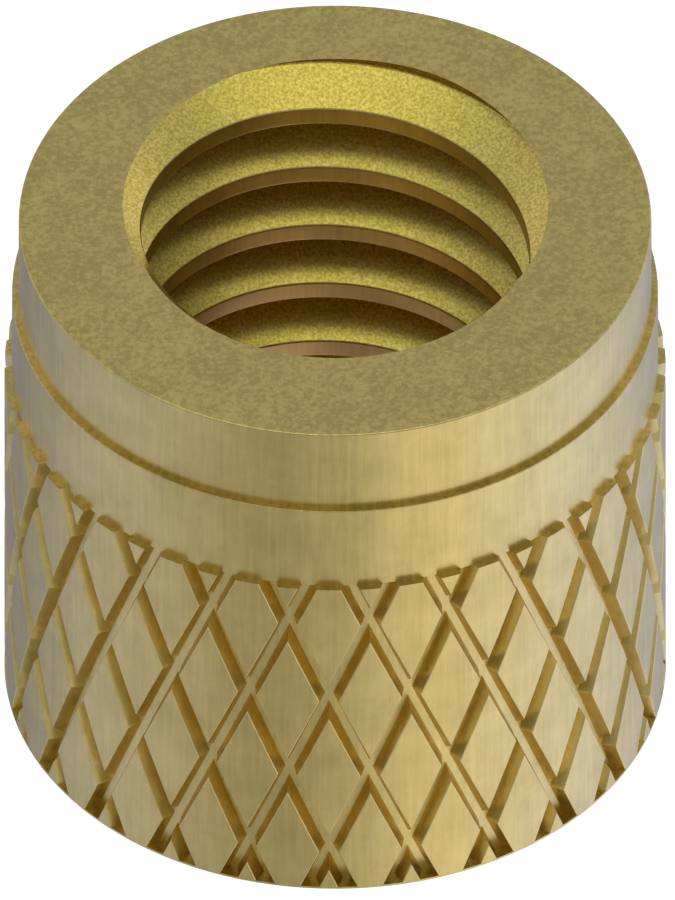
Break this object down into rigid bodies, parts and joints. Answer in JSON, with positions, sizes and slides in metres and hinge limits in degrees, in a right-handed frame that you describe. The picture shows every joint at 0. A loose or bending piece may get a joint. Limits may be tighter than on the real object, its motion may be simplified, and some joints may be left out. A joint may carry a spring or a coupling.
{
  "type": "threaded insert",
  "caption": "Press-in brass insert: a short round bush with a plain pilot and band, a diamond-knurled length that grips a plastic hole, and an internal machine-screw thread.",
  "frame": {"origin": "centre of the bottom face, at the knurled end the insert stands on", "axes": "+Z along the thread axis, from the knurled end up to the pilot; -Y faces the picture's camera"},
  "size_m": [0.0084, 0.0084, 0.0077],
  "materials": {
    "brass": "satin, as turned"
  },
  "bodies": {
    "root": {"insert_body": "brass"}
  },
  "joints": []
}
